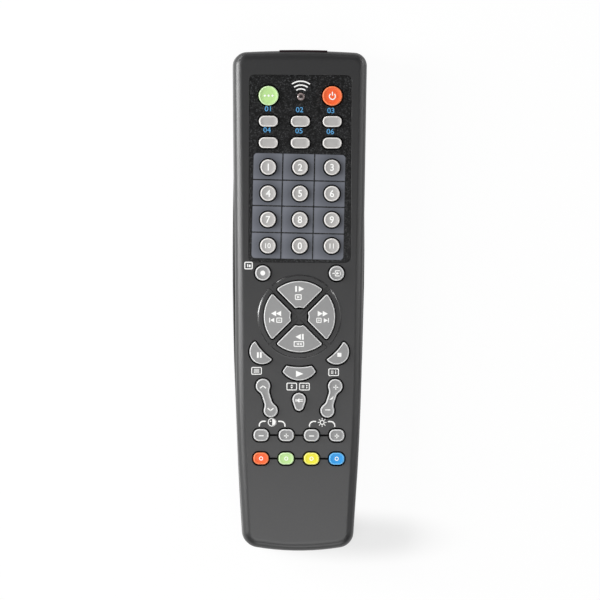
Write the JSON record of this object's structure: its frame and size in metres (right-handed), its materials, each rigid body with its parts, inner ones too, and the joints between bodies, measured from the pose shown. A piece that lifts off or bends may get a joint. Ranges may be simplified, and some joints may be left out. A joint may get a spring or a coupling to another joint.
{
  "type": "universal remote control",
  "caption": "Long handheld infrared remote control with round, oval, ring and rocker keys, an emitter window and a sliding battery cover.",
  "frame": {"origin": "middle of the case's outline, on the plane that its back rests on", "axes": "+Z out of the keys, +Y towards the emitter window, +X to the right of someone reading the keys"},
  "size_m": [0.0506, 0.19, 0.0242],
  "materials": {
    "front_shell": "satin, fine texture",
    "rear_shell": "satin, fine texture",
    "overlay_panel": "fine speckle with a printed border",
    "ir_window": "smoked, polished",
    "ir_leds": "clear",
    "indicator_led": "diffused",
    "circuit_board": "solder mask",
    "keypad_mat": "matt",
    "controller_chip": "moulded",
    "resonator": "drawn can",
    "capacitor": "sleeved can",
    "battery_left": "printed sleeve",
    "battery_right": "printed sleeve",
    "battery_springs": "nickel plated",
    "contact_plates": "nickel plated",
    "case_screws": "zinc plated",
    "battery_cover": "satin, fine texture",
    "set_key": "satin",
    "power_key": "satin",
    "mode_key_1": "satin",
    "mode_key_2": "satin",
    "mode_key_3": "satin",
    "mode_key_4": "satin",
    "mode_key_5": "satin",
    "mode_key_6": "satin",
    "number_key_01": "satin",
    "number_key_02": "satin",
    "number_key_03": "satin",
    "number_key_04": "satin",
    "number_key_05": "satin",
    "number_key_06": "satin",
    "number_key_07": "satin",
    "number_key_08": "satin",
    "number_key_09": "satin",
    "number_key_10": "satin",
    "number_key_11": "satin",
    "number_key_12": "satin",
    "record_key": "satin",
    "input_key": "satin",
    "step_forward_key": "satin",
    "rewind_key": "satin",
    "step_back_key": "satin",
    "forward_key": "satin",
    "pause_key": "satin",
    "stop_key": "satin",
    "play_key": "satin",
    "mute_key": "satin",
    "adjust_key_1": "satin",
    "adjust_key_2": "satin",
    "adjust_key_3": "satin",
    "adjust_key_4": "satin",
    "red_key": "satin",
    "green_key": "satin",
    "yellow_key": "satin",
    "blue_key": "satin",
    "programme_rocker": "satin",
    "volume_rocker": "satin"
  },
  "bodies": {
    "case": {"front_shell": "front_shell", "rear_shell": "rear_shell", "overlay_panel": "overlay_panel", "ir_window": "ir_window", "ir_leds": "ir_leds", "indicator_led": "indicator_led", "circuit_board": "circuit_board", "keypad_mat": "keypad_mat", "controller_chip": "controller_chip", "resonator": "resonator", "capacitor": "capacitor", "battery_left": "battery_left", "battery_right": "battery_right", "battery_springs": "battery_springs", "contact_plates": "contact_plates", "case_screws": "case_screws"},
    "battery_cover": {"battery_cover": "battery_cover"},
    "set_key": {"set_key": "set_key"},
    "power_key": {"power_key": "power_key"},
    "mode_key_1": {"mode_key_1": "mode_key_1"},
    "mode_key_2": {"mode_key_2": "mode_key_2"},
    "mode_key_3": {"mode_key_3": "mode_key_3"},
    "mode_key_4": {"mode_key_4": "mode_key_4"},
    "mode_key_5": {"mode_key_5": "mode_key_5"},
    "mode_key_6": {"mode_key_6": "mode_key_6"},
    "number_key_01": {"number_key_01": "number_key_01"},
    "number_key_02": {"number_key_02": "number_key_02"},
    "number_key_03": {"number_key_03": "number_key_03"},
    "number_key_04": {"number_key_04": "number_key_04"},
    "number_key_05": {"number_key_05": "number_key_05"},
    "number_key_06": {"number_key_06": "number_key_06"},
    "number_key_07": {"number_key_07": "number_key_07"},
    "number_key_08": {"number_key_08": "number_key_08"},
    "number_key_09": {"number_key_09": "number_key_09"},
    "number_key_10": {"number_key_10": "number_key_10"},
    "number_key_11": {"number_key_11": "number_key_11"},
    "number_key_12": {"number_key_12": "number_key_12"},
    "record_key": {"record_key": "record_key"},
    "input_key": {"input_key": "input_key"},
    "step_forward_key": {"step_forward_key": "step_forward_key"},
    "rewind_key": {"rewind_key": "rewind_key"},
    "step_back_key": {"step_back_key": "step_back_key"},
    "forward_key": {"forward_key": "forward_key"},
    "pause_key": {"pause_key": "pause_key"},
    "stop_key": {"stop_key": "stop_key"},
    "play_key": {"play_key": "play_key"},
    "mute_key": {"mute_key": "mute_key"},
    "adjust_key_1": {"adjust_key_1": "adjust_key_1"},
    "adjust_key_2": {"adjust_key_2": "adjust_key_2"},
    "adjust_key_3": {"adjust_key_3": "adjust_key_3"},
    "adjust_key_4": {"adjust_key_4": "adjust_key_4"},
    "red_key": {"red_key": "red_key"},
    "green_key": {"green_key": "green_key"},
    "yellow_key": {"yellow_key": "yellow_key"},
    "blue_key": {"blue_key": "blue_key"},
    "programme_rocker": {"programme_rocker": "programme_rocker"},
    "volume_rocker": {"volume_rocker": "volume_rocker"}
  },
  "joints": [
    {"name": "cover_slide", "type": "slide", "parent": "case", "child": "battery_cover", "axis": [0, -1, 0], "range_m": [0, 0.06]},
    {"name": "set_key_press", "type": "slide", "parent": "case", "child": "set_key", "axis": [0, 0, -1], "range_m": [0, 0.001], "stiffness_N_per_m": 800, "springref_m": -0.0005},
    {"name": "power_key_press", "type": "slide", "parent": "case", "child": "power_key", "axis": [0, 0, -1], "range_m": [0, 0.001], "stiffness_N_per_m": 800, "springref_m": -0.0005},
    {"name": "mode_key_1_press", "type": "slide", "parent": "case", "child": "mode_key_1", "axis": [0, 0, -1], "range_m": [0, 0.001], "stiffness_N_per_m": 800, "springref_m": -0.0005},
    {"name": "mode_key_2_press", "type": "slide", "parent": "case", "child": "mode_key_2", "axis": [0, 0, -1], "range_m": [0, 0.001], "stiffness_N_per_m": 800, "springref_m": -0.0005},
    {"name": "mode_key_3_press", "type": "slide", "parent": "case", "child": "mode_key_3", "axis": [0, 0, -1], "range_m": [0, 0.001], "stiffness_N_per_m": 800, "springref_m": -0.0005},
    {"name": "mode_key_4_press", "type": "slide", "parent": "case", "child": "mode_key_4", "axis": [0, 0, -1], "range_m": [0, 0.001], "stiffness_N_per_m": 800, "springref_m": -0.0005},
    {"name": "mode_key_5_press", "type": "slide", "parent": "case", "child": "mode_key_5", "axis": [0, 0, -1], "range_m": [0, 0.001], "stiffness_N_per_m": 800, "springref_m": -0.0005},
    {"name": "mode_key_6_press", "type": "slide", "parent": "case", "child": "mode_key_6", "axis": [0, 0, -1], "range_m": [0, 0.001], "stiffness_N_per_m": 800, "springref_m": -0.0005},
    {"name": "number_key_01_press", "type": "slide", "parent": "case", "child": "number_key_01", "axis": [0, 0, -1], "range_m": [0, 0.001], "stiffness_N_per_m": 800, "springref_m": -0.0005},
    {"name": "number_key_02_press", "type": "slide", "parent": "case", "child": "number_key_02", "axis": [0, 0, -1], "range_m": [0, 0.001], "stiffness_N_per_m": 800, "springref_m": -0.0005},
    {"name": "number_key_03_press", "type": "slide", "parent": "case", "child": "number_key_03", "axis": [0, 0, -1], "range_m": [0, 0.001], "stiffness_N_per_m": 800, "springref_m": -0.0005},
    {"name": "number_key_04_press", "type": "slide", "parent": "case", "child": "number_key_04", "axis": [0, 0, -1], "range_m": [0, 0.001], "stiffness_N_per_m": 800, "springref_m": -0.0005},
    {"name": "number_key_05_press", "type": "slide", "parent": "case", "child": "number_key_05", "axis": [0, 0, -1], "range_m": [0, 0.001], "stiffness_N_per_m": 800, "springref_m": -0.0005},
    {"name": "number_key_06_press", "type": "slide", "parent": "case", "child": "number_key_06", "axis": [0, 0, -1], "range_m": [0, 0.001], "stiffness_N_per_m": 800, "springref_m": -0.0005},
    {"name": "number_key_07_press", "type": "slide", "parent": "case", "child": "number_key_07", "axis": [0, 0, -1], "range_m": [0, 0.001], "stiffness_N_per_m": 800, "springref_m": -0.0005},
    {"name": "number_key_08_press", "type": "slide", "parent": "case", "child": "number_key_08", "axis": [0, 0, -1], "range_m": [0, 0.001], "stiffness_N_per_m": 800, "springref_m": -0.0005},
    {"name": "number_key_09_press", "type": "slide", "parent": "case", "child": "number_key_09", "axis": [0, 0, -1], "range_m": [0, 0.001], "stiffness_N_per_m": 800, "springref_m": -0.0005},
    {"name": "number_key_10_press", "type": "slide", "parent": "case", "child": "number_key_10", "axis": [0, 0, -1], "range_m": [0, 0.001], "stiffness_N_per_m": 800, "springref_m": -0.0005},
    {"name": "number_key_11_press", "type": "slide", "parent": "case", "child": "number_key_11", "axis": [0, 0, -1], "range_m": [0, 0.001], "stiffness_N_per_m": 800, "springref_m": -0.0005},
    {"name": "number_key_12_press", "type": "slide", "parent": "case", "child": "number_key_12", "axis": [0, 0, -1], "range_m": [0, 0.001], "stiffness_N_per_m": 800, "springref_m": -0.0005},
    {"name": "record_key_press", "type": "slide", "parent": "case", "child": "record_key", "axis": [0, 0, -1], "range_m": [0, 0.001], "stiffness_N_per_m": 800, "springref_m": -0.0005},
    {"name": "input_key_press", "type": "slide", "parent": "case", "child": "input_key", "axis": [0, 0, -1], "range_m": [0, 0.001], "stiffness_N_per_m": 800, "springref_m": -0.0005},
    {"name": "step_forward_key_press", "type": "slide", "parent": "case", "child": "step_forward_key", "axis": [0, 0, -1], "range_m": [0, 0.001], "stiffness_N_per_m": 800, "springref_m": -0.0005},
    {"name": "rewind_key_press", "type": "slide", "parent": "case", "child": "rewind_key", "axis": [0, 0, -1], "range_m": [0, 0.001], "stiffness_N_per_m": 800, "springref_m": -0.0005},
    {"name": "step_back_key_press", "type": "slide", "parent": "case", "child": "step_back_key", "axis": [0, 0, -1], "range_m": [0, 0.001], "stiffness_N_per_m": 800, "springref_m": -0.0005},
    {"name": "forward_key_press", "type": "slide", "parent": "case", "child": "forward_key", "axis": [0, 0, -1], "range_m": [0, 0.001], "stiffness_N_per_m": 800, "springref_m": -0.0005},
    {"name": "pause_key_press", "type": "slide", "parent": "case", "child": "pause_key", "axis": [0, 0, -1], "range_m": [0, 0.001], "stiffness_N_per_m": 800, "springref_m": -0.0005},
    {"name": "stop_key_press", "type": "slide", "parent": "case", "child": "stop_key", "axis": [0, 0, -1], "range_m": [0, 0.001], "stiffness_N_per_m": 800, "springref_m": -0.0005},
    {"name": "play_key_press", "type": "slide", "parent": "case", "child": "play_key", "axis": [0, 0, -1], "range_m": [0, 0.001], "stiffness_N_per_m": 800, "springref_m": -0.0005},
    {"name": "mute_key_press", "type": "slide", "parent": "case", "child": "mute_key", "axis": [0, 0, -1], "range_m": [0, 0.001], "stiffness_N_per_m": 800, "springref_m": -0.0005},
    {"name": "adjust_key_1_press", "type": "slide", "parent": "case", "child": "adjust_key_1", "axis": [0, 0, -1], "range_m": [0, 0.001], "stiffness_N_per_m": 800, "springref_m": -0.0005},
    {"name": "adjust_key_2_press", "type": "slide", "parent": "case", "child": "adjust_key_2", "axis": [0, 0, -1], "range_m": [0, 0.001], "stiffness_N_per_m": 800, "springref_m": -0.0005},
    {"name": "adjust_key_3_press", "type": "slide", "parent": "case", "child": "adjust_key_3", "axis": [0, 0, -1], "range_m": [0, 0.001], "stiffness_N_per_m": 800, "springref_m": -0.0005},
    {"name": "adjust_key_4_press", "type": "slide", "parent": "case", "child": "adjust_key_4", "axis": [0, 0, -1], "range_m": [0, 0.001], "stiffness_N_per_m": 800, "springref_m": -0.0005},
    {"name": "red_key_press", "type": "slide", "parent": "case", "child": "red_key", "axis": [0, 0, -1], "range_m": [0, 0.001], "stiffness_N_per_m": 800, "springref_m": -0.0005},
    {"name": "green_key_press", "type": "slide", "parent": "case", "child": "green_key", "axis": [0, 0, -1], "range_m": [0, 0.001], "stiffness_N_per_m": 800, "springref_m": -0.0005},
    {"name": "yellow_key_press", "type": "slide", "parent": "case", "child": "yellow_key", "axis": [0, 0, -1], "range_m": [0, 0.001], "stiffness_N_per_m": 800, "springref_m": -0.0005},
    {"name": "blue_key_press", "type": "slide", "parent": "case", "child": "blue_key", "axis": [0, 0, -1], "range_m": [0, 0.001], "stiffness_N_per_m": 800, "springref_m": -0.0005},
    {"name": "programme_rocker_tilt", "type": "hinge", "parent": "case", "child": "programme_rocker", "pos_m": [-0.01222, -0.03715, 0.0215], "axis": [0.9532, 0.3024, 0], "range_deg": [-3, 3], "stiffness_Nm_per_rad": 0.15},
    {"name": "volume_rocker_tilt", "type": "hinge", "parent": "case", "child": "volume_rocker", "pos_m": [0.01222, -0.03715, 0.0215], "axis": [0.9532, -0.3024, 0], "range_deg": [-3, 3], "stiffness_Nm_per_rad": 0.15}
  ]
}
